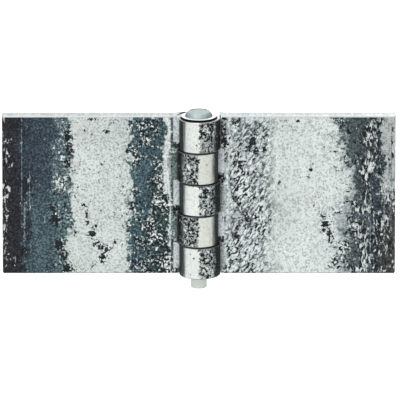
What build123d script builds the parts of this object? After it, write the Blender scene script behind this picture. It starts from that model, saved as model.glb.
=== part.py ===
from build123d import *
import math
import os

# A weld-on butt hinge of hot-rolled strip, lying open flat.
# Millimetres. The pin stands along Z with its head up, the left leaf runs to -X and
# the right leaf to +X. The barrel stands out to the front, which is -Y.
# The origin is on the pin's axis, halfway along the pin.

# Leaves
open_width = 120.0        # from outer edge to outer edge
leaf_height = 50.0        # along the pin
plate = 4.0               # thickness of the strip
set_back = 0.15           # from the pin's axis back to the leaves' front faces
die_roll = 0.6            # rounding that the shear leaves on a front edge
end_chamfer = 0.2         # broken edge at a knuckle's ends

# Pin
pin_diameter = 5.0
tail_length = 4.1         # stands out below the barrel
tail_chamfer = 0.15
seat_diameter = 6.8       # flat under the head that rests on the top knuckle
collar_diameter = 10.7
collar_rise = 0.15        # the collar's underside slopes up to its rim by this much
collar_rim = 0.35         # height of the collar's rim
dome_diameter = 8.3       # foot of the dome, on the collar
dome_height = 1.4         # from the collar to the edge of the crown
crown_diameter = 6.6
crown_height = 0.1        # bulge of the head's top

# Knuckles
knuckle_count = 5
barrel_set_in = 0.35      # the top knuckle ends this much below the leaves' upper edge
knuckle_gap = 0.3         # between neighbouring knuckles
pin_clearance = 0.08      # radial, between the pin and the rolled eye
notch_clearance = 0.2     # from a knuckle to the other leaf's notch, all round it
notch_overlap = 0.3       # the notch's root reaches behind the knuckle by this much
free_end_thinning = 0.63  # worked off the outside of the eye at its free end
slit_outside = 0.25       # between the eye's free end and its own tab
slit_inside = 0.9         # the same slit where it opens into the bore

# Joggle that carries the strip back from the leaf to the eye
joggle_angle = 20.0
joggle_inside_radius = 4.0

# Sizes that follow from the ones above
eye_inner = pin_diameter / 2 + pin_clearance
eye_outer = eye_inner + plate
leaf_reach = open_width / 2
barrel_height = leaf_height - barrel_set_in
knuckle_pitch = barrel_height / knuckle_count
head_height = collar_rise + collar_rim + dome_height + crown_height
pin_length = tail_length + barrel_height + head_height
pin_bottom = -pin_length / 2
barrel_bottom = pin_bottom + tail_length
barrel_top = barrel_bottom + barrel_height


def polar(radius, degrees):
    """A point at this distance and direction from the pin's axis."""
    angle = math.radians(degrees)
    return (radius * math.cos(angle), radius * math.sin(angle))


def beside(distance, degrees, radius):
    """A point at this radius on the line that passes the axis at this distance."""
    offset = math.degrees(math.acos(distance / radius))
    return polar(radius, degrees - offset)


def rolled_section():
    """The strip of the right leaf, cut square to the pin at one of its knuckles."""
    # The tab leaves the eye along a line whose normal points in this direction.
    tab_normal = 90 - joggle_angle
    front_bend = joggle_inside_radius + plate
    front_face = set_back
    back_face = set_back + plate

    # The bend's centre lies behind the leaf, as far from the tab as from the leaf.
    centre_y = back_face + joggle_inside_radius
    tab_distance = eye_inner + front_bend
    lean = math.radians(joggle_angle)
    centre_x = (tab_distance - centre_y * math.cos(lean)) / math.sin(lean)
    centre = (centre_x, centre_y)

    # Where the bend meets the tab, on both faces
    tab_front = (centre_x - front_bend * math.sin(lean), centre_y - front_bend * math.cos(lean))
    tab_back = (
        centre_x - joggle_inside_radius * math.sin(lean),
        centre_y - joggle_inside_radius * math.cos(lean),
    )

    # The free end, thinned on the outside and cut off along the slit
    thin_outer = eye_outer - free_end_thinning
    tip_outer = beside(eye_inner - slit_outside, tab_normal, thin_outer)
    tip_inner = beside(eye_inner - slit_inside, tab_normal, eye_inner)
    tip_angle = math.degrees(math.atan2(tip_inner[1], tip_inner[0]))
    middle = polar((eye_outer + thin_outer) / 2, -45)

    with BuildSketch() as section:
        with BuildLine():
            Line((leaf_reach, back_face), (centre_x, back_face))
            CenterArc(centre, joggle_inside_radius, -90, -joggle_angle)
            Line(tab_back, polar(eye_outer, tab_normal))
            CenterArc((0, 0), eye_outer, tab_normal, 270 - tab_normal)
            ThreePointArc(polar(eye_outer, 270), middle, tip_outer)
            Line(tip_outer, tip_inner)
            CenterArc((0, 0), eye_inner, tip_angle, tab_normal - 360 - tip_angle)
            Line(polar(eye_inner, tab_normal), tab_front)
            CenterArc(centre, front_bend, -90 - joggle_angle, joggle_angle)
            Line((centre_x, front_face), (leaf_reach - die_roll, front_face))
            CenterArc((leaf_reach - die_roll, front_face + die_roll), die_roll, -90, 90)
            Line((leaf_reach, front_face + die_roll), (leaf_reach, back_face))
        make_face()
    return section.sketch


def passage(height):
    """A round room that clears a knuckle on all sides, standing on the XY plane."""
    upward = (Align.CENTER, Align.CENTER, Align.MIN)
    return Cylinder(eye_outer + notch_clearance, height, align=upward)


def notch(row):
    """The room that a leaf leaves for the other leaf's knuckle in this row."""
    bottom = barrel_top - (row + 1) * knuckle_pitch - knuckle_gap / 2
    height = knuckle_pitch + knuckle_gap
    if row == 0:
        height += barrel_set_in
    root = eye_outer - notch_overlap
    across = 4 * eye_outer
    inward = (Align.MAX, Align.CENTER, Align.MIN)
    slot = Pos(root, 0, 0) * Box(across, across, height, align=inward)

    # The root is hollow to pass round the knuckle, so that no light shows between them.
    return Pos(0, 0, bottom) * (slot + passage(height))


def is_eye_rim(edge):
    """Whether an edge runs round the outside of a rolled eye."""
    return edge.geom_type == GeomType.CIRCLE and abs(edge.radius - eye_outer) < 0.001


def rolled_leaf(rows):
    """A right-hand leaf with its knuckles in these rows, counted from the top."""
    leaf = Pos(0, 0, barrel_bottom) * extrude(rolled_section(), leaf_height)
    for row in range(knuckle_count):
        if row not in rows:
            leaf -= notch(row)

    # The shear pulls the front face over at both ends, as at the leaf's outer edge.
    sheared = leaf.edges().filter_by(Axis.X).filter_by_position(Axis.Y, set_back, set_back)
    leaf = fillet(sheared, die_roll)

    # The top knuckle is faced off round the pin, as the seat for the pin's head.
    leaf -= Pos(0, 0, barrel_top) * passage(2 * barrel_set_in)
    return chamfer(leaf.edges().filter_by(is_eye_rim), end_chamfer)


def left_leaf():
    """The leaf with the odd knuckles, so with the top and the bottom one."""
    return mirror(rolled_leaf(range(0, knuckle_count, 2)), about=Plane.YZ)


def right_leaf():
    """The leaf with the even knuckles, between those of the other leaf."""
    return rolled_leaf(range(1, knuckle_count, 2))


def pin():
    """The headed pin, turned about its own axis."""
    shank = pin_diameter / 2
    collar = collar_diameter / 2
    collar_foot = barrel_top + collar_rise
    collar_top = collar_foot + collar_rim
    crown_edge = (crown_diameter / 2, collar_top + dome_height)
    head_top = (0, collar_top + dome_height + crown_height)
    dome_foot = (dome_diameter / 2, collar_top)

    # The crown is a shallow cap whose centre lies on the pin's axis.
    crown_radius = ((crown_diameter / 2) ** 2 + crown_height**2) / (2 * crown_height)
    crown_centre = head_top[1] - crown_radius
    crown_spread = math.degrees(math.asin(crown_diameter / 2 / crown_radius))
    with BuildSketch(Plane.XZ) as half:
        with BuildLine():
            Polyline(
                head_top,
                (0, pin_bottom),
                (shank - tail_chamfer, pin_bottom),
                (shank, pin_bottom + tail_chamfer),
                (shank, barrel_top),
                (seat_diameter / 2, barrel_top),
                (collar, collar_foot),
                (collar, collar_top),
                dome_foot,
            )
            RadiusArc(dome_foot, crown_edge, -2 * dome_height)
            CenterArc((0, crown_centre), crown_radius, 90 - crown_spread, crown_spread)
        make_face()
    return revolve(half.sketch, Axis.Z)


os.makedirs("parts", exist_ok=True)
export_step(left_leaf(), "parts/left_leaf.step")
export_step(right_leaf(), "parts/right_leaf.step")
export_step(pin(), "parts/pin.step")
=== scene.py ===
# %% [markdown]
# A weld-on hinge of hot-rolled steel, lying open flat.
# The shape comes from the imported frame: two leaves of rolled strip and one headed pin. This lesson gives
# them the skin that raw steel has. Strip leaves the mill under a blue-grey scale. The shear, the rolling of
# the knuckles and handling then rub it through to bright metal in some places and leave it black in others,
# so nearly all of the look is in the materials. Every pattern is worked out in millimetres on the part.

# %% Load the frame
import math
from types import SimpleNamespace

import bmesh
import bpy
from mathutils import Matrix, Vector


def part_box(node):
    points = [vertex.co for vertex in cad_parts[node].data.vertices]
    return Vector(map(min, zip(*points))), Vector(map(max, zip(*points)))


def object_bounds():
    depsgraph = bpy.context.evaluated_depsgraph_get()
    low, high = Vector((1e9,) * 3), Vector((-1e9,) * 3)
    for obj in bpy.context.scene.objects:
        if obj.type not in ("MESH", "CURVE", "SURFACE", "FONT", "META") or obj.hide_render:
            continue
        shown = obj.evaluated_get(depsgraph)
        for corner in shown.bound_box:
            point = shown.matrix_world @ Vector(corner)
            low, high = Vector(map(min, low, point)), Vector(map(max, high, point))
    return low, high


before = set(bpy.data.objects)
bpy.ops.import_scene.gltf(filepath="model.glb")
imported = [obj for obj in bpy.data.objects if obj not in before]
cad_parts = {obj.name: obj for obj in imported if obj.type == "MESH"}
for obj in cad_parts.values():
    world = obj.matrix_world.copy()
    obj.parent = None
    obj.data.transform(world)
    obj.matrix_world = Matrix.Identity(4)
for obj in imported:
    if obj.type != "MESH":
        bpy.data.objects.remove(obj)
cad_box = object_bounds()
print("CAD box", [[round(value, 4) for value in corner] for corner in cad_box])

# %% [markdown]
# The camera stands where the photographer's did: square to the leaves, 16 degrees above them, and so far
# off that the leaves' outer edges stay parallel. A long lens from three metres does that. An orthographic
# camera would too, but without the trace of perspective that every photograph has. The hinge fills the
# frame from side to side, so the view is worked out from its open width, and its height in the frame from
# the leaves' middle, because the pin stands out further below than above.

# %% Camera
MM = 0.001
PICTURE_WIDTH = 400
PIXELS_PER_MM = 3.277  # the leaves' 120 mm take 393 pixels
AXIS_PIXEL = 198.8  # column of the pin's axis
AIM_BELOW_MIDDLE = 1.54  # mm, from the leaves' middle down to the picture's middle row
CAMERA_DISTANCE = 3.0
CAMERA_ELEVATION = math.radians(16.0)

leaf_low, leaf_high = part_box("left_leaf")
LEAF_MIDDLE = (leaf_low[2] + leaf_high[2]) / 2 / MM
aim_x = (PICTURE_WIDTH / 2 - AXIS_PIXEL) / PIXELS_PER_MM
aim = Vector((aim_x, 0, LEAF_MIDDLE - AIM_BELOW_MIDDLE)) * MM
backward = Vector((0, -math.cos(CAMERA_ELEVATION), math.sin(CAMERA_ELEVATION)))
camera_data = bpy.data.cameras.new("long_lens")
camera = bpy.data.objects.new("camera", camera_data)
bpy.context.scene.collection.objects.link(camera)
camera.location = aim + backward * CAMERA_DISTANCE
camera.rotation_euler = backward.to_track_quat("Z", "Y").to_euler()
view_width = PICTURE_WIDTH / PIXELS_PER_MM * MM
camera_data.lens = camera_data.sensor_width * CAMERA_DISTANCE / view_width
bpy.context.scene.camera = camera
print(f"lens {camera_data.lens:.0f} mm, view {view_width / MM:.1f} mm wide")

# %% [markdown]
# Two small helpers serve every material. One turns the hex code that a colour picker shows to the linear
# values that shaders use. The other adds a node: it sets the node's options, then gives its inputs their
# values or links, in the order in which the editor shows them.

# %% Helpers for materials


def linear(code):
    """An sRGB hex colour as linear red, green, blue and alpha."""
    channels = [int(code[i : i + 2], 16) / 255 for i in (1, 3, 5)]
    return [c / 12.92 if c <= 0.04045 else ((c + 0.055) / 1.055) ** 2.4 for c in channels] + [1]


def add(tree, kind, *values, **settings):
    """A new node's output, with these settings, and with values or links on its inputs in order."""
    node = tree.nodes.new("ShaderNode" + kind)
    for name, setting in settings.items():
        setattr(node, name, setting)
    for socket, value in zip([socket for socket in node.inputs if socket.enabled], values):
        if isinstance(value, bpy.types.NodeSocket):
            tree.links.new(value, socket)
        elif isinstance(value, str):
            socket.default_value = linear(value)
        elif value is not None:
            socket.default_value = value
    outputs = [socket for socket in node.outputs if socket.enabled]
    return outputs[0] if outputs else None


print("mid grey #808080 is", round(linear("#808080")[0], 3), "in linear light")

# %% [markdown]
# Steel shows what stands round it. A product photographer puts white card in front and above, and a black
# flag on each side: the flat leaves then mirror white card, and the round barrel runs to dark at both
# flanks. A studio picture wrapped round the scene could do the same, but a ramp from side to side is all
# that this hinge needs. The camera itself sees plain white.

# %% World
CARD_TONE = 0.74
OVERHEAD_GAIN = 1.9  # the card right overhead is lit from close by, and lights the rims
OVERHEAD = (0.7, 0.95)  # how far a direction points up, where that card begins and where it is full
FLAGS = [  # place from left (0) to right (1), and the share of the card's tone there
    (0.00, 0.06), (0.05, 0.20), (0.14, 1.00), (0.80, 1.00), (0.90, 0.20), (1.00, 0.05),
]

world = bpy.data.worlds.new("card_studio")
bpy.context.scene.world = world
world.use_nodes = True
sky = world.node_tree
sky.nodes.clear()
direction = sky.nodes.new("ShaderNodeTexCoord").outputs["Generated"]
toward_x, _, toward_z = add(sky, "SeparateXYZ", direction).node.outputs
tones = add(sky, "ValToRGB", add(sky, "MapRange", toward_x, -1.0, 1.0))
flag_ramp = tones.node.color_ramp
while len(flag_ramp.elements) < len(FLAGS):
    flag_ramp.elements.new(0.5)
for element, (place, share) in zip(flag_ramp.elements, FLAGS):
    element.position = place
    element.color = [share * CARD_TONE] * 3 + [1]
seen_by_camera = sky.nodes.new("ShaderNodeLightPath").outputs["Is Camera Ray"]
overhead = add(sky, "MapRange", toward_z, *OVERHEAD, 1.0, OVERHEAD_GAIN)
tones = add(sky, "VectorMath", tones, overhead, operation="SCALE")
card = add(sky, "Mix", seen_by_camera, tones, "#ffffff", data_type="RGBA")
add(sky, "OutputWorld", add(sky, "Background", card, 1.0))
print("world", world.name, "with card tone", CARD_TONE)

# %% [markdown]
# Two soft lamps give the light a direction. The large key lamp stands high at the front left, and a weaker
# one behind makes the sheared top edges shine. Area lamps, like softboxes, keep the glint on the barrel
# wide.

# %% Lamps
LAMPS = [
    ("key_lamp", (-0.35, -0.5, 0.6), 1.6),
    ("back_lamp", (0.2, 0.5, 0.5), 0.8),
]
LAMP_SIZE = 0.3

for name, place, power in LAMPS:
    data = bpy.data.lights.new(name, "AREA")
    data.size = LAMP_SIZE
    data.energy = power
    lamp = bpy.data.objects.new(name, data)
    lamp.location = place
    lamp.rotation_euler = Vector(place).to_track_quat("Z", "Y").to_euler()
    bpy.context.scene.collection.objects.link(lamp)
    print("lamp", name, power, "W")

# %% [markdown]
# The floor is white card. The hinge isn't lying on it but is held up, as by a clamp out of view, so the
# shadow falls well below. A floor right under it would put a shadow across the picture.

# %% Floor
FLOOR_DROP = 0.09  # metres below the pin's tail
FLOOR_HALF_WIDTH = 4

shape = bmesh.new()
bmesh.ops.create_grid(shape, x_segments=1, y_segments=1, size=FLOOR_HALF_WIDTH)
bmesh.ops.translate(shape, verts=shape.verts, vec=(0, 0, cad_box[0][2] - FLOOR_DROP))
floor_mesh = bpy.data.meshes.new("floor")
shape.to_mesh(floor_mesh)
shape.free()
floor = bpy.data.objects.new("floor", floor_mesh)
bpy.context.scene.collection.objects.link(floor)
print("floor", FLOOR_DROP, "m below the hinge")

# %% [markdown]
# The card itself is matt paper. A glow that only the camera and mirror reflections see keeps it white all
# over without a brighter lamp, which would wash out the steel.

# %% White card
FLOOR_GLOW = 0.45
GLOW_IN_STEEL = 0.30

floor_card = bpy.data.materials.new("white_card")
floor_card.use_nodes = True
paper = floor_card.node_tree
paper.nodes.clear()
rays = paper.nodes.new("ShaderNodeLightPath").outputs
for_camera = add(paper, "Math", rays["Is Camera Ray"], FLOOR_GLOW, operation="MULTIPLY")
for_steel = add(paper, "Math", rays["Is Glossy Ray"], GLOW_IN_STEEL, operation="MULTIPLY")
glow = add(paper, "Emission", "#ffffff", add(paper, "Math", for_camera, for_steel, operation="ADD"))
surface = add(paper, "AddShader", add(paper, "BsdfDiffuse", "#f2f2f2"), glow)
add(paper, "OutputMaterial", surface)
floor_mesh.materials.append(floor_card)
print("card of", len(paper.nodes), "nodes")

# %% [markdown]
# The strip's skin starts from a small palette of finishes: steel that is worn bare, steel whose scale is
# whole, and the stages between. Each has its colour, the share of it that black specks cover, and the share
# that bright flecks cover. Where the scale is thin it looks slate blue, and where the shear and the rolls
# pressed it, it is nearly black.

# %% Palette of finishes
FINISHES = {
    "bend_grey": ("#9ca7a7", 0.35, 0.34),
    # the two finishes after bend_grey are a painted highlight along the convex bend beside the knuckles
    "bend_painted_highlight": ("#d7dddc", 0.22, 0.40),
    "bend_painted_highlight_dim": ("#c8d0cf", 0.28, 0.38),
    "clean_worn": ("#d4dbd9", 0.18, 0.20),
    "worn": ("#ced5d3", 0.22, 0.22),
    "worn_grey": ("#c3cdc9", 0.30, 0.27),
    "speckled_grey": ("#b2babb", 0.36, 0.41),
    "speckled_dull": ("#a4abad", 0.40, 0.40),
    "outer_grey": ("#adb3b2", 0.36, 0.32),
    "half_worn": ("#879193", 0.40, 0.37),
    "flecked_slate": ("#4c5b60", 0.31, 0.39),
    "open_slate": ("#4a5d61", 0.37, 0.33),
    "even_slate": ("#405056", 0.26, 0.19),
    "calm_slate": ("#3f535a", 0.40, 0.32),
    "peppered_slate": ("#394b4f", 0.43, 0.38),
    "peppered_dark": ("#324344", 0.45, 0.35),
    "flecked_dull": ("#475154", 0.43, 0.43),
    "dull_scale": ("#424c4f", 0.40, 0.31),
    "laddered_scale": ("#3c4346", 0.47, 0.45),
    "blue_scale": ("#333e47", 0.27, 0.21),
    "streaked_blue": ("#303a41", 0.35, 0.30),
    "dark_blue_scale": ("#2d353f", 0.29, 0.18),
    "black_scale": ("#24262b", 0.32, 0.15),
    "flecked_black": ("#27262a", 0.36, 0.38),
    "flecked_edge": ("#3a3b3a", 0.44, 0.41),
}
print(len(FINISHES), "finishes")

# %% [markdown]
# Across each leaf the finishes lie in bands that run with the strip: worn to pale metal in the middle, slate
# where the scale is whole, black at the outer edge. Noise alone would scatter them anywhere, so a table
# places them. Each row gives the distance from the pin's axis in mm and the finish there, and the finish
# blends from row to row. A leaf has one table for its upper half and one for its lower half, because the
# bands run at a slant to the edges.

# %% Bands of the left leaf
LEFT_UPPER = [
    (6.6, "bend_grey"), (8.2, "bend_grey"), (8.5, "bend_painted_highlight"), (10.0, "bend_painted_highlight"),
    (10.4, "peppered_slate"), (14.5, "peppered_slate"), (16.5, "calm_slate"), (20.4, "calm_slate"),
    (21.0, "worn_grey"), (30.0, "worn"), (38.6, "worn"), (39.2, "open_slate"), (42.0, "flecked_slate"),
    (44.2, "flecked_slate"), (45.5, "blue_scale"), (50.0, "blue_scale"), (53.0, "dark_blue_scale"),
    (56.0, "black_scale"), (57.4, "black_scale"), (58.2, "flecked_black"),
]
LEFT_LOWER = [
    (6.6, "bend_grey"), (8.2, "bend_grey"), (8.5, "bend_painted_highlight_dim"), (9.7, "bend_painted_highlight_dim"),
    (10.2, "peppered_dark"), (13.0, "peppered_dark"), (15.5, "peppered_slate"), (20.0, "calm_slate"),
    (21.6, "calm_slate"), (22.3, "worn_grey"), (28.0, "worn"), (36.0, "worn"), (38.6, "worn_grey"),
    (39.6, "open_slate"), (42.5, "open_slate"), (45.0, "even_slate"), (51.5, "even_slate"),
    (52.6, "dark_blue_scale"), (55.0, "black_scale"), (57.4, "black_scale"), (58.2, "flecked_black"),
]
print("left leaf:", len(LEFT_UPPER), "and", len(LEFT_LOWER), "rows")

# %% [markdown]
# The right leaf is cut from the same strip but was worn more: its pale middle is wider, and only the outer
# quarter kept its scale. So it uses the same palette with rows of its own.

# %% Bands of the right leaf
RIGHT_UPPER = [
    (6.6, "bend_grey"), (8.2, "bend_grey"), (8.6, "bend_painted_highlight"), (9.0, "bend_painted_highlight"),
    (9.4, "speckled_dull"), (14.0, "speckled_grey"), (18.5, "speckled_grey"), (21.0, "worn_grey"),
    (23.5, "clean_worn"), (41.0, "clean_worn"), (43.6, "worn_grey"), (45.2, "half_worn"),
    (46.4, "dull_scale"), (49.0, "dull_scale"), (50.5, "laddered_scale"), (53.2, "laddered_scale"),
    (53.8, "streaked_blue"), (56.0, "streaked_blue"), (57.0, "outer_grey"), (59.0, "outer_grey"),
]
RIGHT_LOWER = [
    (6.6, "bend_grey"), (8.2, "bend_grey"), (8.6, "bend_painted_highlight"), (9.0, "bend_painted_highlight_dim"),
    (9.4, "speckled_dull"), (14.0, "speckled_grey"), (18.5, "speckled_grey"), (21.0, "worn_grey"),
    (25.0, "clean_worn"), (34.0, "clean_worn"), (41.0, "worn"), (43.0, "speckled_grey"),
    (44.4, "half_worn"), (46.4, "flecked_dull"), (52.0, "flecked_dull"), (53.0, "streaked_blue"),
    (55.2, "streaked_blue"), (56.2, "flecked_edge"), (59.4, "flecked_edge"),
]
print("right leaf:", len(RIGHT_UPPER), "and", len(RIGHT_LOWER), "rows")

# %% [markdown]
# Black blots of scale stay on the worn part, where a roll left a dent that nothing rubbed. Each is given by
# its place on the leaf (distance from the pin's axis, height above the leaf's middle), its half width and
# half height, all in mm. A painted picture could hold them too, but a table stays sharp at any distance.

# %% Blots on the leaves
LEFT_BLOTS = [
    (35.1, -3.2, 0.9, 0.8), (34.2, -6.2, 0.35, 1.0), (33.9, -8.2, 0.5, 0.8), (31.4, -10.3, 0.6, 0.5),
    (32.3, -12.6, 0.9, 1.5), (31.6, -15.2, 0.8, 1.1), (30.0, -16.6, 0.9, 0.8), (28.3, -17.4, 1.0, 0.8),
    (29.3, -19.2, 0.9, 0.7), (29.9, -21.0, 0.6, 0.5), (32.5, -22.3, 0.5, 0.6), (25.6, -14.8, 0.4, 0.6),
    (34.7, 20.4, 0.35, 0.35), (30.4, 4.1, 0.3, 0.4), (37.7, -12.0, 0.3, 1.0), (40.0, 18.5, 0.9, 1.4),
    (39.6, 14.2, 1.1, 1.9), (40.2, 10.6, 0.7, 1.2), (44.8, -4.6, 0.9, 1.0), (44.0, -8.0, 1.0, 1.4),
    (42.6, -16.0, 1.2, 1.6), (41.2, -19.6, 1.0, 1.7), (40.0, -23.2, 1.4, 1.2), (28.0, 20.2, 0.7, 0.4),
    (32.3, 24.0, 1.2, 0.4),
]
RIGHT_BLOTS = [
    (37.9, -7.0, 0.9, 1.1), (38.6, -9.0, 1.0, 1.1), (38.0, -11.2, 0.7, 0.6), (39.9, -11.8, 0.5, 0.6),
    (40.0, -14.6, 0.6, 1.5), (42.5, -20.4, 0.5, 0.9), (42.7, -23.0, 0.6, 1.3), (34.3, 8.0, 0.4, 0.4),
    (24.5, 3.9, 0.4, 0.4), (30.1, 23.4, 0.5, 0.5), (16.7, 17.6, 0.9, 1.7), (15.5, 15.2, 0.6, 0.8),
    (17.6, 14.0, 0.5, 0.8), (20.0, 18.4, 0.8, 1.1), (20.2, 14.6, 0.6, 0.6), (14.7, -7.2, 1.0, 1.4),
    (13.6, 3.5, 0.5, 0.5), (6.9, 21.0, 0.8, 1.6), (7.2, 17.5, 0.7, 0.8), (12.6, 9.6, 0.7, 1.0),
]
print("blots:", len(LEFT_BLOTS), "left,", len(RIGHT_BLOTS), "right")

# %% [markdown]
# The bands don't run straight: in a few bays they swing out or in by some millimetres. A bay has a place,
# a half width and half height like a blot, and the way by which it pushes the bands towards the pin.
# Scratches are ellipses too, only very narrow ones, left along the strip by the guides of the shear.

# %% Bays and scratches
LEFT_BAYS = [
    (52.5, 5.0, 6.0, 8.0, 2.4), (39.5, -17.5, 5.0, 6.5, -2.6), (20.5, 14.5, 2.5, 3.0, -1.6),
    (46.0, -10.0, 5.0, 6.0, 1.6),
]
RIGHT_BAYS = [
    (43.5, 25.0, 6.0, 9.0, 3.6), (46.0, 3.0, 6.0, 10.0, -3.0), (44.0, -12.0, 4.0, 5.0, 1.2),
    (45.0, -27.0, 5.0, 7.0, -2.0),
]
LEFT_SCRATCHES = [
    (54.0, 9.0, 0.13, 17.0), (53.2, -10.0, 0.25, 6.0), (51.6, 2.0, 0.10, 6.0), (47.0, -8.0, 0.2, 0.8),
]
RIGHT_SCRATCHES = [(58.7, 10.0, 0.12, 16.0), (56.6, -9.0, 0.16, 6.0), (52.4, -12.0, 0.14, 7.0)]
print("bays:", len(LEFT_BAYS) + len(RIGHT_BAYS), "scratches:", len(LEFT_SCRATCHES) + len(RIGHT_SCRATCHES))

# %% [markdown]
# Both leaves are hot-rolled mild steel strip, so both go through the same steps, and only their tables
# differ. One long function could build a leaf's material, but then no step could be looked at by itself. So
# each leaf is a small record, and each of the next cells adds one layer to both materials. Beside the
# tables the record holds what the rolls did to this leaf: which rows of knuckles are its own, how far its
# tabs reach, their tones, and where the strip is drawn or squeezed.

# %% What sets the two leaves apart
ROW = 9.93  # mm, from knuckle to knuckle
ROW_EDGE = 0.1  # mm before and after a row's end, over which the next one takes over
left = SimpleNamespace(
    node="left_leaf", side=-1.0, seed=3.0, steel=bpy.data.materials.new("hot_rolled_strip_left"),
    bands=(LEFT_UPPER, LEFT_LOWER), blots=LEFT_BLOTS, bays=LEFT_BAYS, scratches=LEFT_SCRATCHES,
    own_rows=(ROW + ROW_EDGE, ROW - ROW_EDGE), tab_edge=8.55, burnished_tone="#dfe3de", tab_tone="#d2dbdd",
    line_tone="#465351", notch_tone="#6a7c78", notch_dark=0.32, first_notch_dark=0.32,
    drawn_from=(46.0, 52.0), wrinkled_from=None, wrinkled_to=None,
)
right = SimpleNamespace(
    node="right_leaf", side=1.0, seed=11.0, steel=bpy.data.materials.new("hot_rolled_strip_right"),
    bands=(RIGHT_UPPER, RIGHT_LOWER), blots=RIGHT_BLOTS, bays=RIGHT_BAYS, scratches=RIGHT_SCRATCHES,
    own_rows=(ROW - ROW_EDGE, ROW + ROW_EDGE), tab_edge=8.3, burnished_tone="#d6dad2", tab_tone="#e2ecee",
    line_tone="#b2bbbb", notch_tone="#b2bbbb", notch_dark=0.40, first_notch_dark=0.56,
    drawn_from=(44.0, 50.0), wrinkled_from=(8.5, 9.5), wrinkled_to=(23.5, 19.5),
)
leaves = (left, right)
print("leaves:", [leaf.node for leaf in leaves])

# %% [markdown]
# A pattern needs to know where on the steel it is. A UV map could tell it, but Object coordinates are the
# part's own metres, so turned to mm they give every scale as one over a real size. Distance runs from the
# pin's axis out along the leaf, and height is above the leaf's middle.

# %% Where a point of the leaf lies
for leaf in leaves:
    leaf.steel.use_nodes = True
    tree = leaf.tree = leaf.steel.node_tree
    tree.nodes.clear()
    coordinates = tree.nodes.new("ShaderNodeTexCoord").outputs
    leaf.place = add(tree, "VectorMath", coordinates["Object"], 1 / MM, operation="SCALE")
    leaf.x, leaf.y, z = add(tree, "SeparateXYZ", leaf.place).node.outputs
    leaf.normal_x, _, leaf.normal_z = add(tree, "SeparateXYZ", coordinates["Normal"]).node.outputs
    leaf.distance = add(tree, "Math", leaf.x, leaf.side, operation="MULTIPLY")
    leaf.height = add(tree, "Math", z, LEAF_MIDDLE, operation="SUBTRACT")
    leaf.spot = add(tree, "CombineXYZ", leaf.distance, leaf.height, 0.0)
print(f"heights are taken from {LEAF_MIDDLE:.3f} mm above the origin")

# %% [markdown]
# Scale breaks up at several sizes at once, so there is one noise for each: patches that bend the bands,
# clumps that make one place busier than the next, frayed edges, wormlike specks, flecks, grain and dust.
# Hairlines and ladder marks are the same noise drawn out along Z, which is the way the strip was rolled.
# The real dust, grain and hairlines are finer than 0.1 mm, which wouldn't show at three pixels a
# millimetre, so they are drawn coarser: a speck of dust is about a pixel.

# %% Noise by size
NOISES = {  # size in mm, squeeze along Z, detail, roughness, distortion
    "patches": (8.0, 0.55, 3.0, 0.5, 0.0),
    "clumps": (4.5, 0.8, 2.0, 0.6, 0.6),
    "frays": (3.0, 1.0, 5.0, 0.7, 0.0),
    "worms": (1.6, 1.0, 1.0, 0.5, 1.4),
    "flecks": (0.8, 1.0, 2.0, 0.6, 0.0),
    "grain": (0.6, 1.0, 2.0, 0.7, 0.0),
    "dust": (0.35, 1.0, 1.0, 0.5, 0.0),
    "hairs": (0.8, 0.1, 3.0, 0.6, 0.0),
    "ladder": (0.8, 0.4, 2.0, 0.7, 0.6),
}
LACUNARITY = 2.0  # each finer layer of a noise has half the size of the one before

for leaf in leaves:
    tree = leaf.tree
    leaf.shifted = add(tree, "VectorMath", leaf.place, [leaf.seed] * 3, operation="ADD")
    for name, (size, along, detail, roughness, distortion) in NOISES.items():
        drawn_out = add(tree, "VectorMath", leaf.shifted, (1, 1, along), operation="MULTIPLY")
        noise = add(tree, "TexNoise", drawn_out, 1 / size, detail, roughness, LACUNARITY, distortion)
        setattr(leaf, name, noise)
print("noises:", ", ".join(f"{name} {values[0]} mm" for name, values in NOISES.items()))

# %% [markdown]
# Next to the right leaf's knuckles the strip was squeezed lengthways, and its skin folded into wrinkles
# that run up and outwards at a slant. They are too fine for the mesh, so they are noise once more, turned
# about the line of sight and then drawn out.

# %% Wrinkles
WRINKLE = 0.8  # mm, from fold to fold
WRINKLE_SLANT = math.radians(-36)
WRINKLE_SQUEEZE = 0.42
WRINKLE_DETAIL, WRINKLE_ROUGHNESS, WRINKLE_WARP = 3.0, 0.65, 0.8

for leaf in leaves:
    tree = leaf.tree
    slanted = add(tree, "VectorRotate", leaf.shifted, (0, 0, 0), WRINKLE_SLANT, rotation_type="Y_AXIS")
    slanted = add(tree, "VectorMath", slanted, (1, 1, WRINKLE_SQUEEZE), operation="MULTIPLY")
    fineness = (1 / WRINKLE, WRINKLE_DETAIL, WRINKLE_ROUGHNESS, LACUNARITY, WRINKLE_WARP)
    leaf.wrinkles = add(tree, "TexNoise", slanted, *fineness)
print(f"wrinkles slant by {abs(math.degrees(WRINKLE_SLANT)):.0f} degrees")

# %% [markdown]
# Bays, blots and scratches are all ellipses, so one helper tells how far a point lies from an ellipse's
# centre, counted in its half sizes: less than one is inside. The bands then don't follow the true distance
# from the pin but a wandering one, which sways with the patches and swings in the bays. The last term frays
# it, and frays it less beside the knuckles, where the rolls drew the bands' edges straight.

# %% Uneven edges of the bands
SWAY = 3.5  # mm, by which the patches push a band to either side
BESIDE_ROLLS = (10.0, 15.0)  # mm from the axis, where the rolls' pull begins to fade and is gone
FRAY = (5.0, 15.0)  # mm, the width of a band's frayed edge at these two distances


def reach(tree, spot, ellipse):
    """How far a spot of the leaf lies from an ellipse's centre, in its half sizes."""
    centre_x, centre_z, half_width, half_height = ellipse
    offset = add(tree, "VectorMath", spot, (centre_x, centre_z, 0), operation="SUBTRACT")
    scaled = add(tree, "VectorMath", offset, (1 / half_width, 1 / half_height, 0), operation="MULTIPLY")
    return add(tree, "VectorMath", scaled, operation="LENGTH")


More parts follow.
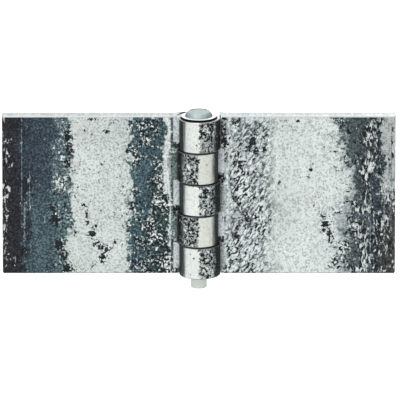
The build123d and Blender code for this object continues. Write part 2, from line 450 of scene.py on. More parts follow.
for leaf in leaves:
    tree = leaf.tree
    sway = add(tree, "MapRange", leaf.patches, 0.0, 1.0, -SWAY, SWAY)
    leaf.wander = add(tree, "Math", leaf.distance, sway, operation="ADD")
    for *ellipse, push in leaf.bays:
        near = reach(tree, leaf.spot, ellipse)
        swing = add(tree, "MapRange", near, 1.0, 0.0, 0.0, push, interpolation_type="SMOOTHSTEP")
        leaf.wander = add(tree, "Math", leaf.wander, swing, operation="ADD")
    ragged = add(tree, "MapRange", leaf.distance, *BESIDE_ROLLS, *FRAY)
    fray = add(tree, "MapRange", leaf.frays, 0.0, 1.0, -0.5, 0.5)
    leaf.banded = add(tree, "Math", fray, ragged, leaf.wander, operation="MULTIPLY_ADD")
    print(leaf.node, "has", len(leaf.bays), "bays")

# %% [markdown]
# Colour, dark share and bright share each become a colour ramp over that distance, from the finishes in the
# table. There is one ramp for the upper half of the leaf and one for the lower half, and they meet along an
# uneven line near the leaf's middle.

# %% Bands as ramps
LEAF_REACH = 60.0  # mm, from the pin's axis to a leaf's outer edge
MIDLINE_WAVER = 7.0  # mm, by which the patches bend the line between the halves
MIDLINE_BLEND = 3.0  # mm to either side of it, over which one half fades into the other

for leaf in leaves:
    tree = leaf.tree
    uneven = add(tree, "MapRange", leaf.patches, 0.0, 1.0, -MIDLINE_WAVER, MIDLINE_WAVER)
    level = add(tree, "Math", leaf.height, uneven, operation="ADD")
    in_lower_half = add(tree, "MapRange", level, MIDLINE_BLEND, -MIDLINE_BLEND)
    along_ramp = add(tree, "MapRange", leaf.banded, 0.0, LEAF_REACH)
    for column, name in enumerate(("tone", "dark_share", "bright_share")):
        halves = [add(tree, "ValToRGB", along_ramp) for table in leaf.bands]
        for half, table in zip(halves, leaf.bands):
            elements = half.node.color_ramp.elements
            while len(elements) < len(table):
                elements.new(0.5)
            for element, (place, finish) in zip(elements, table):
                value = FINISHES[finish][column]
                element.position = place / LEAF_REACH
                element.color = linear(value) if name == "tone" else [value] * 3 + [1]
        kind = "RGBA" if name == "tone" else "FLOAT"
        setattr(leaf, name, add(tree, "Mix", in_lower_half, *halves, data_type=kind))
    print(leaf.node, "now has", len(tree.nodes), "nodes")

# %% [markdown]
# Two zones need a pattern of their own: near the outer edge the scale is drawn into short streaks, and on
# the right leaf the wrinkles lie beside the knuckles. Both fade in over a few millimetres.

# %% Drawn and squeezed zones
for leaf in leaves:
    tree = leaf.tree
    leaf.drawn = add(tree, "MapRange", leaf.wander, *leaf.drawn_from)
    leaf.squeezed = 0.0
    if leaf.wrinkled_from:
        begun = add(tree, "MapRange", leaf.wander, *leaf.wrinkled_from)
        unfinished = add(tree, "MapRange", leaf.wander, *leaf.wrinkled_to)
        leaf.squeezed = add(tree, "Math", begun, unfinished, operation="MULTIPLY")
    print(leaf.node, "is drawn from", leaf.drawn_from[0], "mm, and wrinkled from", leaf.wrinkled_from)

# %% [markdown]
# The five knuckles lie in rows. Counted from the barrel's top down, the left leaf's knuckle is the first
# of each pair and the right leaf's is the second, so the remainder of a division tells whose row it is.

# %% Rows of knuckles
BARREL_TOP = 24.65  # mm above the leaf's middle
TOP_SKIN = 0.1  # mm, so that the barrel's top still counts as part of the first row

for leaf in leaves:
    tree = leaf.tree
    below_seat = add(tree, "Math", leaf.height, BARREL_TOP - TOP_SKIN, operation="MINIMUM")
    leaf.below_top = add(tree, "Math", BARREL_TOP, below_seat, operation="SUBTRACT")
    leaf.in_row = add(tree, "Math", leaf.below_top, ROW, operation="FLOORED_MODULO")
    in_pair = add(tree, "Math", leaf.below_top, 2 * ROW, operation="FLOORED_MODULO")
    leaf.own_row = add(tree, "MapRange", in_pair, *leaf.own_rows)
print("rows of", ROW, "mm, five of them in", round(5 * ROW, 2), "mm")

# %% [markdown]
# Between the flat leaf and the rolled eye runs the joggled tab. Its front was pressed smooth and pale by
# the die, and its tone is painted paler still, as light that makes up for the knuckle's shade. Its lower end
# is toned darker, and a line runs beside it where the bend begins. In the other leaf's rows there is a notch
# instead, whose edge is speckled and whose tone is painted shade. Coordinates cut out these sharp strips:
# the distance from the pin, and the distance along the direction that the tab faces, which tells its front
# from its back.

# %% Where the tabs and notches are
JOGGLE = math.radians(20.0)
TAB_FRONT = (4.2, 4.0)  # mm along the direction that the tab faces, behind and before its front
TAB_END = 7.7  # mm, from the pin's axis to where the pressed tab ends
TAB_BLEND = 0.15
LINE_BLEND = (0.1, -0.05)  # mm, from the line's own distance to where its edge begins and is whole
LOWER_END = (7.7, 8.1)  # mm down the row, where the scale that stayed begins and is whole
LOWER_WAVER = 2.0

for leaf in leaves:
    tree = leaf.tree
    tab_normal = (math.sin(JOGGLE) * leaf.side, math.cos(JOGGLE), 0)
    leaf.along_normal = add(tree, "VectorMath", leaf.place, tab_normal, operation="DOT_PRODUCT")
    front_face = add(tree, "MapRange", leaf.along_normal, *TAB_FRONT)
    line_edge = [leaf.tab_edge + blend for blend in LINE_BLEND]
    beside_eye = add(tree, "MapRange", leaf.distance, *line_edge)
    leaf.beside_eye = add(tree, "Math", beside_eye, front_face, operation="MULTIPLY")
    on_tab = add(tree, "MapRange", leaf.distance, TAB_END + TAB_BLEND, TAB_END)
    on_tab = add(tree, "Math", on_tab, leaf.own_row, operation="MULTIPLY")
    leaf.on_tab = add(tree, "Math", on_tab, front_face, operation="MULTIPLY")
    uneven = add(tree, "MapRange", leaf.flecks, 0.0, 1.0, -LOWER_WAVER, LOWER_WAVER)
    down_row = add(tree, "Math", leaf.in_row, uneven, operation="ADD")
    leaf.lower_end = add(tree, "MapRange", down_row, *LOWER_END)
    print(leaf.node, "has its tab's line at", leaf.tab_edge, "mm")

# %% [markdown]
# With those places known, each gets its tone and its share of specks: few on the pressed tab, more in the
# notch, and most in the uppermost notch. The tab's pale tone is partly painted light, and the notch strip's
# darker tone is painted shade beside the other leaf's knuckle.

# %% Tone of the tabs and notches
TAB_AT_EYE = "#f4fdff"  # the angle beside the eye gets little light, and a paler tone makes up for it
AT_EYE = (7.8, 6.8)  # mm from the axis, where that angle begins and where it is deepest
TAB_LOWER_END = "#3a4344"
TAB_DARK, LOWER_END_DARK, TAB_BRIGHT = 0.2, 0.45, 0.34  # shares of specks and flecks
ROW_BLEND = 0.5  # mm

for leaf in leaves:
    tree = leaf.tree
    at_eye = add(tree, "MapRange", leaf.distance, *AT_EYE)
    # the tab tone is pale partly as painted light, making up for the knuckle's shade
    tab = add(tree, "Mix", at_eye, leaf.tab_tone, TAB_AT_EYE, data_type="RGBA")
    tab = add(tree, "Mix", leaf.lower_end, tab, TAB_LOWER_END, data_type="RGBA")
    # in the other leaf's rows the notch tone is painted shade beside that leaf's knuckle
    line = add(tree, "Mix", leaf.own_row, leaf.notch_tone, leaf.line_tone, data_type="RGBA")
    tab = add(tree, "Mix", leaf.on_tab, line, tab, data_type="RGBA")
    leaf.tone = add(tree, "Mix", leaf.beside_eye, leaf.tone, tab, data_type="RGBA")
    first_row = add(tree, "MapRange", leaf.below_top, ROW, ROW - ROW_BLEND)
    notch_dark = add(tree, "Mix", first_row, leaf.notch_dark, leaf.first_notch_dark)
    tab_dark = add(tree, "Mix", leaf.lower_end, TAB_DARK, LOWER_END_DARK)
    tab_dark = add(tree, "Mix", leaf.on_tab, notch_dark, tab_dark)
    leaf.dark_share = add(tree, "Mix", leaf.beside_eye, leaf.dark_share, tab_dark)
    leaf.bright_share = add(tree, "Mix", leaf.beside_eye, leaf.bright_share, TAB_BRIGHT)
print("tabs and notches toned")

# %% [markdown]
# The rolled eye is the round part. The half towards its own leaf slid along the die and is burnished
# smooth and pale. The other half only touched the roll, so it is as rough and speckled as the mill left
# it. The seam between them wavers. To tell the eye from the leaf, the material looks at the radius from the
# pin's axis, and on the leaf's own side also at whether the point lies in front of the tab.

# %% Rolled eyes
KNUCKLE_RADIUS = 6.75  # mm, just outside the rolled eye
RADIUS_BLEND = 0.05
BEFORE_TAB = (2.35, 2.2)  # mm along the direction that the tab faces, where the eye is clear of it
FAR_SIDE = (2.0, 1.9)  # mm towards the own leaf, short of which there is no tab
SEAM = (-0.3, 0.1)  # mm towards the own leaf, where the rough half ends and the smooth one begins
SEAM_WAVER = 1.2
ROUGH_HALF = "#979f9d"
EYE_SHARES = (("dark_share", 0.48, 0.2), ("bright_share", 0.38, 0.2))  # on the rough and the smooth half

for leaf in leaves:
    tree = leaf.tree
    from_axis = add(tree, "CombineXYZ", leaf.x, leaf.y, 0.0)
    radius = add(tree, "VectorMath", from_axis, operation="LENGTH")
    leaf.round_axis = add(tree, "MapRange", radius, KNUCKLE_RADIUS + RADIUS_BLEND, KNUCKLE_RADIUS)
    before_tab = add(tree, "MapRange", leaf.along_normal, *BEFORE_TAB)
    far_side = add(tree, "MapRange", leaf.distance, *FAR_SIDE)
    on_eye = add(tree, "Math", before_tab, far_side, operation="MAXIMUM")
    leaf.on_eye = add(tree, "Math", leaf.round_axis, on_eye, operation="MULTIPLY")
    wavering = add(tree, "MapRange", leaf.worms, 0.0, 1.0, -SEAM_WAVER, SEAM_WAVER)
    seam = add(tree, "Math", leaf.distance, wavering, operation="ADD")
    leaf.own_half = add(tree, "MapRange", seam, *SEAM)
    burnished = add(tree, "Math", leaf.round_axis, before_tab, operation="MULTIPLY")
    leaf.burnished = add(tree, "Math", burnished, leaf.own_half, operation="MULTIPLY")
    leaf.tone = add(tree, "Mix", leaf.on_eye, leaf.tone, ROUGH_HALF, data_type="RGBA")
    leaf.tone = add(tree, "Mix", leaf.burnished, leaf.tone, leaf.burnished_tone, data_type="RGBA")
    for name, rough, smooth in EYE_SHARES:
        share = add(tree, "Mix", leaf.on_eye, getattr(leaf, name), rough)
        setattr(leaf, name, add(tree, "Mix", leaf.burnished, share, smooth))
print("eyes within", KNUCKLE_RADIUS, "mm of the axis")

# %% [markdown]
# The eye's flanks are painted dark as shade, in streaks round the roll. The painted shade reaches a little
# further round on the leaf's own side, and it is darkest on the far side. Light and shade alone would leave
# the flanks grey, but the real ones run to black at the outermost line, so they get a painted shade tone as
# well, black at that line.

# %% Dark flanks
# painted shade on the flanks: dark and pale streaks, and black at the outermost line
FLANK_SHADE_DARK, FLANK_SHADE_PALE, OUTERMOST_SHADE_BLACK = "#1d2324", "#4a5453", "#060707"
FLANK = (4.3, 5.2)  # mm beside the axis, where the flank's painted shade begins and is whole
OUTERMOST = (5.3, 5.9)  # mm beside the axis, the same for the black line
OWN_SIDE_REACH = 0.4  # mm, by which the painted shade begins sooner on the leaf's own side
FAR_SIDE_SHADE = 0.45  # share of its lightness that the far side keeps
FLANK_FRONT = (1.4, 0.8)  # mm behind the axis, where it ends
STREAK_WAVER, END_WAVER = 1.0, 1.5  # mm
STREAK = (0.4, 0.6)  # the hairlines' noise, in a dark streak and in a pale one

for leaf in leaves:
    tree = leaf.tree
    beside_axis = add(tree, "Math", leaf.x, operation="ABSOLUTE")
    streaked = add(tree, "MapRange", leaf.hairs, 0.0, 1.0, -STREAK_WAVER, STREAK_WAVER)
    round_roll = add(tree, "Math", beside_axis, streaked, operation="ADD")
    round_roll = add(tree, "Math", leaf.own_half, OWN_SIDE_REACH, round_roll, operation="MULTIPLY_ADD")
    flank = add(tree, "MapRange", round_roll, *FLANK)
    flank = add(tree, "Math", leaf.on_eye, flank, operation="MULTIPLY")
    uneven = add(tree, "MapRange", leaf.flecks, 0.0, 1.0, -END_WAVER, END_WAVER)
    front = add(tree, "MapRange", add(tree, "Math", leaf.y, uneven, operation="ADD"), *FLANK_FRONT)
    leaf.flank = add(tree, "Math", flank, front, operation="MULTIPLY")
    streak = add(tree, "MapRange", leaf.hairs, *STREAK)
    flank_tone = add(tree, "Mix", streak, FLANK_SHADE_DARK, FLANK_SHADE_PALE, data_type="RGBA")
    dimmed = add(tree, "Mix", leaf.own_half, FAR_SIDE_SHADE, 1.0)
    flank_tone = add(tree, "VectorMath", flank_tone, dimmed, operation="SCALE")
    outermost = add(tree, "MapRange", beside_axis, *OUTERMOST)
    flank_tone = add(tree, "Mix", outermost, flank_tone, OUTERMOST_SHADE_BLACK, data_type="RGBA")
    leaf.tone = add(tree, "Mix", leaf.flank, leaf.tone, flank_tone, data_type="RGBA")
print("flanks from", FLANK[0], "mm beside the axis")

# %% [markdown]
# Specks and flecks are what makes the steel look raw. Both come from one mottle. Where it is lower than the
# band's dark share the scale shows black, and where it is higher than one less the bright share the bare
# steel shows, so the table says how much of each there is, and the noise says where. The mottle is worms,
# flecks and dust in most places, ladder marks where the strip is drawn, and folds where it is squeezed. A
# fold's valley is painted in shade and its ridge is painted with a highlight.

# %% Mottle and wrinkles
FLECK_PART, DUST_PART, FLECKS_IN_FOLDS = 0.6, 0.22, 0.35
MOTTLE_SPREAD = (-0.6, 1.6)  # a noise stays near 0.5, so each is spread until it has black and white parts
LADDER_SPREAD = (-0.3, 1.3)
FOLD_SPREAD = (-0.4, 1.4)
FOLD_SHADE_AND_HIGHLIGHT = (0.45, 0.53, 0.22, 1.28)  # the noise in a valley and on a ridge, and the gain there

for leaf in leaves:
    tree = leaf.tree
    mottle = add(tree, "Mix", FLECK_PART, leaf.worms, leaf.flecks)
    mottle = add(tree, "Mix", DUST_PART, mottle, leaf.dust)
    mottle = add(tree, "MapRange", mottle, 0.0, 1.0, *MOTTLE_SPREAD)
    rungs = add(tree, "MapRange", leaf.ladder, 0.0, 1.0, *LADDER_SPREAD)
    mottle = add(tree, "Mix", leaf.drawn, mottle, rungs)
    folds = add(tree, "Mix", FLECKS_IN_FOLDS, leaf.wrinkles, leaf.flecks)
    folds = add(tree, "MapRange", folds, 0.0, 1.0, *FOLD_SPREAD)
    leaf.mottle = add(tree, "Mix", leaf.squeezed, mottle, folds)
    # painted shade in the fold's valleys and a painted highlight on its ridges
    fold_shade_and_highlight = add(tree, "MapRange", leaf.wrinkles, *FOLD_SHADE_AND_HIGHLIGHT)
    fold_shade_and_highlight = add(tree, "Mix", leaf.squeezed, 1.0, fold_shade_and_highlight)
    leaf.tone = add(tree, "VectorMath", leaf.tone, fold_shade_and_highlight, operation="SCALE")
print("mottle laid over both leaves")

# %% [markdown]
# Rubbing is never even, so both shares go up and down together with the clumps: one place is busy, and the
# next is calm. The eyes were rolled, not rubbed, so they keep their shares, and their flanks are calmer.

# %% Specks and flecks
SCALE_BLACK, BARE_WHITE = "#171b1d", "#dfe6e4"
BUSIER = (0.35, 0.65, -0.14, 0.12)  # the clumps' noise, and what it adds to the shares
FLANK_CALM = -0.12  # added to the shares on a flank
SPECK_EDGE = (-0.03, 0.03)  # how far below the dark share the mottle is, where a speck begins and is whole
FLECK_EDGE = (0.97, 1.09)  # the mottle and the bright share together, for a fleck
DRAWN_FLECKS = 0.8  # strength of the flecks where the strip is drawn

for leaf in leaves:
    tree = leaf.tree
    busier = add(tree, "MapRange", leaf.clumps, *BUSIER)
    off_eye = add(tree, "Math", 1.0, leaf.on_eye, operation="SUBTRACT")
    busier = add(tree, "Math", busier, off_eye, operation="MULTIPLY")
    busier = add(tree, "Math", leaf.flank, FLANK_CALM, busier, operation="MULTIPLY_ADD")
    dark_share = add(tree, "Math", leaf.dark_share, busier, operation="ADD")
    under = add(tree, "Math", dark_share, leaf.mottle, operation="SUBTRACT")
    speck = add(tree, "MapRange", under, *SPECK_EDGE)
    bright_share = add(tree, "Math", leaf.bright_share, busier, operation="ADD")
    over = add(tree, "Math", leaf.mottle, bright_share, operation="ADD")
    fleck = add(tree, "MapRange", over, *FLECK_EDGE)
    strength = add(tree, "Mix", leaf.drawn, 1.0, DRAWN_FLECKS)
    fleck = add(tree, "Math", fleck, strength, operation="MULTIPLY")
    leaf.tone = add(tree, "Mix", speck, leaf.tone, SCALE_BLACK, data_type="RGBA")
    leaf.tone = add(tree, "Mix", fleck, leaf.tone, BARE_WHITE, data_type="RGBA")
    print(leaf.node, "now has", len(tree.nodes), "nodes")

# %% [markdown]
# Now the blots and scratches go on. Of all a leaf's ellipses the nearest counts, and noise added to its
# reach frays the outline, so no two blots look alike. They are on the front only, as the back lies against
# what the hinge is welded to.

# %% Blots and scratches
MARKS = [("blots", 7.0, "#1d2325"), ("scratches", 5.0, "#66747b")]  # name, fraying, tone
MARK_EDGE = (1.15, 0.9)  # in half sizes from the centre, where a mark begins and is whole
NO_MARK = 9.0  # in half sizes, too far for any mark
IN_FRONT = (1.2, 0.8)  # mm behind the axis, where the marks end

for leaf in leaves:
    tree = leaf.tree
    in_front = add(tree, "MapRange", leaf.y, *IN_FRONT)
    ragged = add(tree, "Mix", 0.5, leaf.flecks, leaf.frays)
    for name, fraying, mark_tone in MARKS:
        nearest = NO_MARK
        for ellipse in getattr(leaf, name):
            nearest = add(tree, "Math", nearest, reach(tree, leaf.spot, ellipse), operation="MINIMUM")
        fuzz = add(tree, "MapRange", ragged, 0.0, 1.0, -fraying, fraying)
        frayed = add(tree, "Math", nearest, fuzz, operation="ADD")
        mark = add(tree, "MapRange", frayed, *MARK_EDGE)
        mark = add(tree, "Math", mark, in_front, operation="MULTIPLY")
        leaf.tone = add(tree, "Mix", mark, leaf.tone, mark_tone, data_type="RGBA")
    print(leaf.node, "carries", len(leaf.blots), "blots and", len(leaf.scratches), "scratches")

# %% [markdown]
# Grain is the last of the patterns: fine dark dots on the bare steel, fine pale ones on the scale, and
# hairlines and slow clouds over both. It multiplies the tone rather than replacing it, so the bands keep
# their colours. The burnished half of an eye was smoothed by the die and has little of it. Wherever the
# surface faces down, as where the shear pulled the front face over along the lower edge, the tone is
# painted darker as shade, because there the strip turns from the light.

# %% Grain and hairlines
LIGHTNESS = (0.1, 0.4)  # of the tone, from scale to bare steel
DARK_DOTS = (0.40, 0.50, 0.62, 1.04)  # here and below: the noise, low and high, and the gain there
PALE_DOTS = (0.46, 0.60, 0.72, 2.3)
HAIRLINES = (0.3, 0.7, 0.93, 1.07)
CLOUDS = (0.3, 0.7, 0.92, 1.08)
TURNED_DOWN_SHADE = (-0.15, -0.5, 1.0, 0.55)  # the normal's upward part, and the gain there
SMOOTHED = 0.6  # share of all this that the die took away

for leaf in leaves:
    tree = leaf.tree
    light = add(tree, "MapRange", add(tree, "RGBToBW", leaf.tone), *LIGHTNESS)
    dark_dots = add(tree, "MapRange", leaf.grain, *DARK_DOTS)
    pale_dots = add(tree, "MapRange", leaf.grain, *PALE_DOTS)
    gain = add(tree, "Mix", light, pale_dots, dark_dots)
    hairlines = add(tree, "MapRange", leaf.hairs, *HAIRLINES)
    clouds = add(tree, "MapRange", leaf.patches, *CLOUDS)
    gain = add(tree, "Math", gain, hairlines, operation="MULTIPLY")
    gain = add(tree, "Math", gain, clouds, operation="MULTIPLY")
    smoothed = add(tree, "Math", leaf.burnished, SMOOTHED, operation="MULTIPLY")
    gain = add(tree, "Mix", smoothed, gain, 1.0)
    # painted shade on surfaces that face down
    turned_down_shade = add(tree, "MapRange", leaf.normal_z, *TURNED_DOWN_SHADE)
    gain = add(tree, "Math", gain, turned_down_shade, operation="MULTIPLY")
    leaf.tone = add(tree, "VectorMath", leaf.tone, gain, operation="SCALE")
print("grain of", NOISES["grain"][0], "mm")

# %% [markdown]
# Sheared faces are fresh metal: bright, brushed through the thickness by the blade, grey along the burr at
# the back, and grey where the blade pulled the front edge over. The normal finds them, because only they
# face up, down or outwards. The eye's own surface faces outwards too and is left out by its radius.

# %% Sheared faces
BRUSH = 0.9  # mm between the blade's marks; real ones are finer, but wouldn't show
BRUSH_SQUEEZE, BRUSH_DETAIL = 0.15, 3.0
BRUSH_MARKS = (0.3, 0.7)  # the noise, where the face is grey and where it is bright
OUTWARD = (0.93, 0.97)  # how far the normal turns outwards, where a sheared face begins and is whole
UPWARD = (0.12, 0.45)
DOWNWARD = (-0.85, -0.95)
PULLED_OVER = (0.95, 0.80)  # how far it still turns upwards where the front edge was pulled over
BURR_BACK = (3.7, 4.0)  # mm behind the axis
CUT_GREY, CUT_BRIGHT, BURR, PULLED_EDGE = "#bfc7c7", "#e9eeed", "#9aa2a3", "#c2cac9"

for leaf in leaves:
    tree = leaf.tree
    sideways = add(tree, "Math", leaf.normal_x, operation="ABSOLUTE")
    outer_face = add(tree, "MapRange", sideways, *OUTWARD)
    beyond_eye = add(tree, "Math", 1.0, leaf.round_axis, operation="SUBTRACT")
    outer_face = add(tree, "Math", outer_face, beyond_eye, operation="MULTIPLY")
    top_face = add(tree, "MapRange", leaf.normal_z, *UPWARD)
    bottom_face = add(tree, "MapRange", leaf.normal_z, *DOWNWARD)
    sheared = add(tree, "Math", bottom_face, outer_face, operation="MAXIMUM")
    sheared = add(tree, "Math", top_face, sheared, operation="MAXIMUM")
    brushed = add(tree, "VectorMath", leaf.shifted, (1, BRUSH_SQUEEZE, 1), operation="MULTIPLY")
    marks = add(tree, "TexNoise", brushed, 1 / BRUSH, BRUSH_DETAIL)
    marks = add(tree, "MapRange", marks, *BRUSH_MARKS)
    cut = add(tree, "Mix", marks, CUT_GREY, CUT_BRIGHT, data_type="RGBA")
    at_back = add(tree, "MapRange", leaf.y, *BURR_BACK)
    cut = add(tree, "Mix", at_back, cut, BURR, data_type="RGBA")
    pulled_over = add(tree, "MapRange", leaf.normal_z, *PULLED_OVER)
    pulled_over = add(tree, "Math", top_face, pulled_over, operation="MULTIPLY")
    cut = add(tree, "Mix", pulled_over, cut, PULLED_EDGE, data_type="RGBA")
    leaf.tone = add(tree, "Mix", sheared, leaf.tone, cut, data_type="RGBA")
print("sheared faces brushed at", BRUSH, "mm")

# %% [markdown]
# The eyes' ends are dark with a dull rim, because nothing rubbed them. Only the uppermost is faced off
# bright as a seat for the pin's head, and it is painted black in front, as the collar's shadow. A circle
# that lies a little forward of the axis tells the painted shadow from the lit part.

# %% Ends of the eyes
# the first tone is both the dark of the unrubbed ends and the painted shadow of the collar on the uppermost
# end
END_DARK_AND_COLLAR_SHADOW, END_FACED, RIM_DULL = "#202526", "#f2f4f2", "#6f7779"
RIM_ROUGH, RIM_RUBBED = "#a9b0af", "#ffffff"
COLLAR_SHADOW_FORWARD = 0.7  # mm, by which the painted shadow's circle lies in front of the axis
COLLAR_SHADOW_RADIUS = (5.65, 5.8)  # mm, where the painted shadow of the collar ends and the lit faced end is whole
FACED_ABOVE = (24.0, 24.2)  # mm above the leaf's middle
RIM_SLOPE = (0.5, 0.6)  # how far the normal turns up or down, on the rim and on the end itself
END_SLOPE = (0.9, 0.95)

for leaf in leaves:
    tree = leaf.tree
    slope = add(tree, "Math", leaf.normal_z, operation="ABSOLUTE")
    forward = add(tree, "Math", leaf.y, COLLAR_SHADOW_FORWARD, operation="ADD")
    from_shadow_centre = add(tree, "VectorMath", add(tree, "CombineXYZ", leaf.x, forward, 0.0), operation="LENGTH")
    outside_collar_shadow = add(tree, "MapRange", from_shadow_centre, *COLLAR_SHADOW_RADIUS)
    faced = add(tree, "MapRange", leaf.height, *FACED_ABOVE)
    faced = add(tree, "Math", faced, outside_collar_shadow, operation="MULTIPLY")
    rim = add(tree, "Math", add(tree, "MapRange", slope, *RIM_SLOPE), leaf.on_eye, operation="MULTIPLY")
    rim_tone = add(tree, "Mix", leaf.own_half, RIM_ROUGH, RIM_RUBBED, data_type="RGBA")
    rim_tone = add(tree, "Mix", faced, RIM_DULL, rim_tone, data_type="RGBA")
    end_tone = add(tree, "Mix", faced, END_DARK_AND_COLLAR_SHADOW, END_FACED, data_type="RGBA")
    end_face = add(tree, "MapRange", slope, *END_SLOPE)
    end_tone = add(tree, "Mix", end_face, rim_tone, end_tone, data_type="RGBA")
    leaf.tone = add(tree, "Mix", rim, leaf.tone, end_tone, data_type="RGBA")
print("eye ends toned")

# %% [markdown]
# Last comes how the steel shines. Bright places are bare metal, which mirrors the card in a soft blur. Dark
# ones are scale, an oxide: rougher, and less of a mirror. So metallic and roughness both follow the tone's
# own lightness, which keeps speck and shine together. The pressed tab is nearly matt, as fine die marks
# scatter the light. The mottle also lifts the skin by a slight bump, which is all the relief that scale
# has.

# %% Steel shader
RELIEF, RELIEF_STRENGTH = 0.15, 0.8  # mm, and the share of it that shows
BARE = (0.05, 0.45)  # lightness of the tone, from scale to bare steel
ROUGHNESS = (0.55, 0.42)  # of scale and of bare steel, and the same for metallic
METALLIC = (0.75, 0.95)
TAB_METALLIC = 0.1
CALM_RELIEF = 0.15  # share of the relief that the die left on a burnished half

for leaf in leaves:
    tree = leaf.tree
    bare = add(tree, "MapRange", add(tree, "RGBToBW", leaf.tone), *BARE)
    roughness = add(tree, "MapRange", bare, 0.0, 1.0, *ROUGHNESS)
    metallic = add(tree, "MapRange", bare, 0.0, 1.0, *METALLIC)
    other = add(tree, "Math", leaf.on_eye, leaf.lower_end, operation="MAXIMUM")
    other = add(tree, "Math", 1.0, other, operation="SUBTRACT")
    pressed = add(tree, "Math", leaf.on_tab, other, operation="MULTIPLY")
    metallic = add(tree, "Mix", pressed, metallic, TAB_METALLIC)
    calm = add(tree, "MapRange", leaf.burnished, 0.0, 1.0, 1.0, CALM_RELIEF)
    relief = add(tree, "Math", leaf.mottle, calm, operation="MULTIPLY")
    bump = add(tree, "Bump", RELIEF_STRENGTH, RELIEF * MM, None, relief)
    shader = tree.nodes.new("ShaderNodeBsdfPrincipled")
    tree.links.new(leaf.tone, shader.inputs["Base Color"])
    tree.links.new(metallic, shader.inputs["Metallic"])
    tree.links.new(roughness, shader.inputs["Roughness"])
    tree.links.new(bump, shader.inputs["Normal"])
    add(tree, "OutputMaterial", shader.outputs[0])
    print(leaf.steel.name, "is done with", len(tree.nodes), "nodes")

# %% [markdown]
# The pin is cold-headed from drawn wire. Drawing leaves no scale, so it is smooth: evenly grey-blue on the
# head, with a slight cloudiness that shows a hand's wear, and paler on the tail. Its tones depend on where
# along and how far from the axis a point lies, which is all that a turned part needs.

# %% Head and tail of the pin
CLOUD, CLOUD_DETAIL = 1.2, 3.0  # size in mm
CLOUD_RANGE = (0.3, 0.7)
TAIL_BELOW = (0.0, -1.0)  # mm above the origin, where the head's tone has ended and the tail's begun
HEAD_DARK, HEAD_PALE, TAIL = "#aebebe", "#bccbca", "#d4dad4"

pin_steel = bpy.data.materials.new("drawn_steel_pin")
pin_steel.use_nodes = True
wire = pin_steel.node_tree
wire.nodes.clear()
wire_coordinates = wire.nodes.new("ShaderNodeTexCoord").outputs
wire_place = add(wire, "VectorMath", wire_coordinates["Object"], 1 / MM, operation="SCALE")
wire_x, wire_y, wire_z = add(wire, "SeparateXYZ", wire_place).node.outputs
cloud = add(wire, "TexNoise", wire_place, 1 / CLOUD, CLOUD_DETAIL)
cloud = add(wire, "MapRange", cloud, *CLOUD_RANGE)
wire_tone = add(wire, "Mix", cloud, HEAD_DARK, HEAD_PALE, data_type="RGBA")
on_tail = add(wire, "MapRange", wire_z, *TAIL_BELOW)
wire_tone = add(wire, "Mix", on_tail, wire_tone, TAIL, data_type="RGBA")
print("pin clouded at", CLOUD, "mm")

# %% [markdown]
# A crescent of painted shade lies at the crown's far edge, and the dome's two sides are painted darker as
# shade, as they turn away from the card. The collar's top is painted white as a highlight, and its rim is
# painted black as shade, so a thin black line runs round below the head.

# %% Crown, dome and collar of the pin
CROWN_EDGE_SHADE, DOME_SIDE_SHADE, COLLAR_RIM_SHADE, COLLAR_TOP_HIGHLIGHT = "#2c3434", "#6d7979", "#0b0d0e", "#ffffff"
CROWN_EDGE = (2.2, 2.9)  # mm from the axis, where the crescent begins and is whole
CROWN_END = (3.45, 3.3)  # mm from the axis, beyond which it ends
CROWN_FAR = (0.8, 2.0)  # mm behind the axis
DOME_SIDE = (3.3, 4.0)  # mm beside the axis
COLLAR = (4.1, 4.25)  # mm from the axis
FACES_UP = (0.3, 0.7)  # how far the normal turns up on the collar's top

from_pin_axis = add(wire, "CombineXYZ", wire_x, wire_y, 0.0)
wire_radius = add(wire, "VectorMath", from_pin_axis, operation="LENGTH")
crown_edge = add(wire, "MapRange", wire_radius, *CROWN_EDGE)
within_crown = add(wire, "MapRange", wire_radius, *CROWN_END)
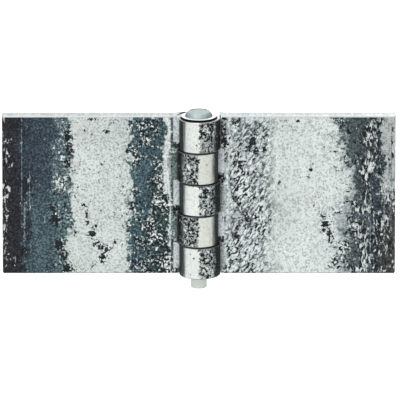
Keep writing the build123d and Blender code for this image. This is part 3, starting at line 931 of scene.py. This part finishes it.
# painted shade at the crown's far edge, and below on the dome's sides
crown_edge_shade = add(wire, "Math", crown_edge, within_crown, operation="MULTIPLY")
far_side = add(wire, "MapRange", wire_y, *CROWN_FAR)
crown_edge_shade = add(wire, "Math", crown_edge_shade, far_side, operation="MULTIPLY")
wire_tone = add(wire, "Mix", crown_edge_shade, wire_tone, CROWN_EDGE_SHADE, data_type="RGBA")
dome_side = add(wire, "MapRange", add(wire, "Math", wire_x, operation="ABSOLUTE"), *DOME_SIDE)
wire_tone = add(wire, "Mix", dome_side, wire_tone, DOME_SIDE_SHADE, data_type="RGBA")
normal_z = add(wire, "SeparateXYZ", wire_coordinates["Normal"]).node.outputs["Z"]
faces_up = add(wire, "MapRange", normal_z, *FACES_UP)
# the collar's upward face is painted white as a highlight, and its rim black as shade
collar_highlight_and_shade = add(wire, "Mix", faces_up, COLLAR_RIM_SHADE, COLLAR_TOP_HIGHLIGHT, data_type="RGBA")
on_collar = add(wire, "MapRange", wire_radius, *COLLAR)
wire_tone = add(wire, "Mix", on_collar, wire_tone, collar_highlight_and_shade, data_type="RGBA")
print("pin toned with", len(wire.nodes), "nodes")

# %% [markdown]
# The wire's shine is even, so metallic and roughness are plain values on the shader.

# %% Pin shader
wire_shader = wire.nodes.new("ShaderNodeBsdfPrincipled")
wire.links.new(wire_tone, wire_shader.inputs["Base Color"])
wire_shader.inputs["Metallic"].default_value = 0.7  # handled steel mirrors less than clean steel
wire_shader.inputs["Roughness"].default_value = 0.55  # the draw marks blur what it mirrors
add(wire, "OutputMaterial", wire_shader.outputs[0])
print(pin_steel.name, "is done with", len(wire.nodes), "nodes")

# %% [markdown]
# The frame's pieces already have the right shapes, knuckles and chamfers included, so none of them is
# modelled again. Each only swaps its plain finish for the steel made above.

# %% Dress the pieces
for node, material in (("left_leaf", left.steel), ("right_leaf", right.steel), ("pin", pin_steel)):
    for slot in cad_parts[node].material_slots:
        slot.material = material
    print(node, "wears", material.name)

# %% [markdown]
# Standard is the view in which a hex colour comes out as it was written.

# %% Finish
bpy.context.scene.view_settings.view_transform = "Standard"
